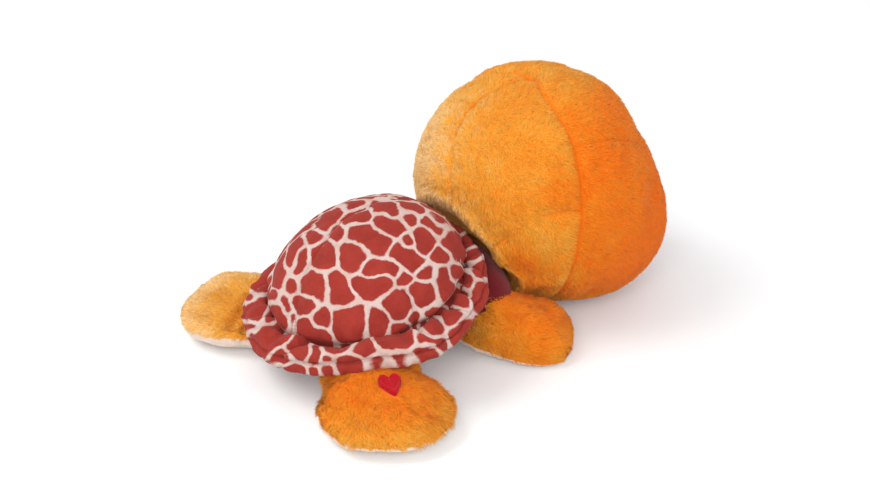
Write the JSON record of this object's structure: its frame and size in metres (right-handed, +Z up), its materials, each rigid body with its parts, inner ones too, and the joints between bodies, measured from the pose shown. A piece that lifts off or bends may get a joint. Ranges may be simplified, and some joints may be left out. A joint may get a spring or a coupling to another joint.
{
  "type": "plush turtle",
  "caption": "Stuffed toy turtle lying on its belly, with a big round head, a patterned domed shell with a padded rim, and soft flippers.",
  "frame": {"origin": "on the surface the toy lies on, under the middle of its bounding box", "axes": "+Z up, the nose points along -Y, the turtle's right side is -X"},
  "size_m": [0.189, 0.267, 0.1344],
  "materials": {
    "orange_plush": "long soft pile",
    "printed_plush": "short pile printed with brick-red patches and pale lines",
    "maroon_plush": "short pile",
    "cream_plush": "short pile",
    "polyester_filling": "loose fibre",
    "brown_thread": "satin stitch",
    "crimson_thread": "satin stitch",
    "black_eye": "polished",
    "eye_washer": "as moulded"
  },
  "bodies": {
    "body": {"belly_panel": "maroon_plush", "body_filling": "polyester_filling", "shell_dome_left": "printed_plush", "shell_dome_right": "printed_plush", "shell_rim_cover": "printed_plush", "shell_rim_wadding": "polyester_filling"},
    "head": {"brow_left": "orange_plush", "brow_right": "orange_plush", "cheek_left": "orange_plush", "cheek_right": "orange_plush", "eye_left": "black_eye", "eye_right": "black_eye", "eye_washer_left": "eye_washer", "eye_washer_right": "eye_washer", "head_back_left": "orange_plush", "head_back_right": "orange_plush", "head_filling": "polyester_filling", "mouth_stitching": "brown_thread", "nostril_left": "brown_thread", "nostril_right": "brown_thread"},
    "flipper_front_left": {"flipper_front_left_filling": "polyester_filling", "flipper_front_left_sole": "cream_plush", "flipper_front_left_top": "orange_plush"},
    "flipper_front_right": {"flipper_front_right_filling": "polyester_filling", "flipper_front_right_sole": "cream_plush", "flipper_front_right_top": "orange_plush"},
    "flipper_rear_left": {"flipper_rear_left_filling": "polyester_filling", "flipper_rear_left_sole": "cream_plush", "flipper_rear_left_top": "orange_plush"},
    "flipper_rear_right": {"flipper_rear_right_filling": "polyester_filling", "flipper_rear_right_sole": "cream_plush", "flipper_rear_right_top": "orange_plush", "embroidered_badge": "crimson_thread"}
  },
  "joints": [
    {"name": "head_nod", "type": "hinge", "parent": "body", "child": "head", "pos_m": [0.00228, -0.01295, 0.04053], "axis": [1, 0, 0], "range_deg": [-8, 6]},
    {"name": "flipper_front_right_flap", "type": "hinge", "parent": "body", "child": "flipper_front_right", "pos_m": [-0.02472, 0.00906, 0.0244], "axis": [-0.6428, 0.766, 0], "range_deg": [-20, 3]},
    {"name": "flipper_front_left_flap", "type": "hinge", "parent": "body", "child": "flipper_front_left", "pos_m": [0.02928, 0.00906, 0.0244], "axis": [-0.6428, -0.766, 0], "range_deg": [-20, 3]},
    {"name": "flipper_rear_right_flap", "type": "hinge", "parent": "body", "child": "flipper_rear_right", "pos_m": [-0.03072, 0.07906, 0.0105], "axis": [0.2924, 0.9563, 0], "range_deg": [-20, 3]},
    {"name": "flipper_rear_left_flap", "type": "hinge", "parent": "body", "child": "flipper_rear_left", "pos_m": [0.03248, 0.07906, 0.0105], "axis": [0.4848, -0.8746, 0], "range_deg": [-20, 3]}
  ]
}
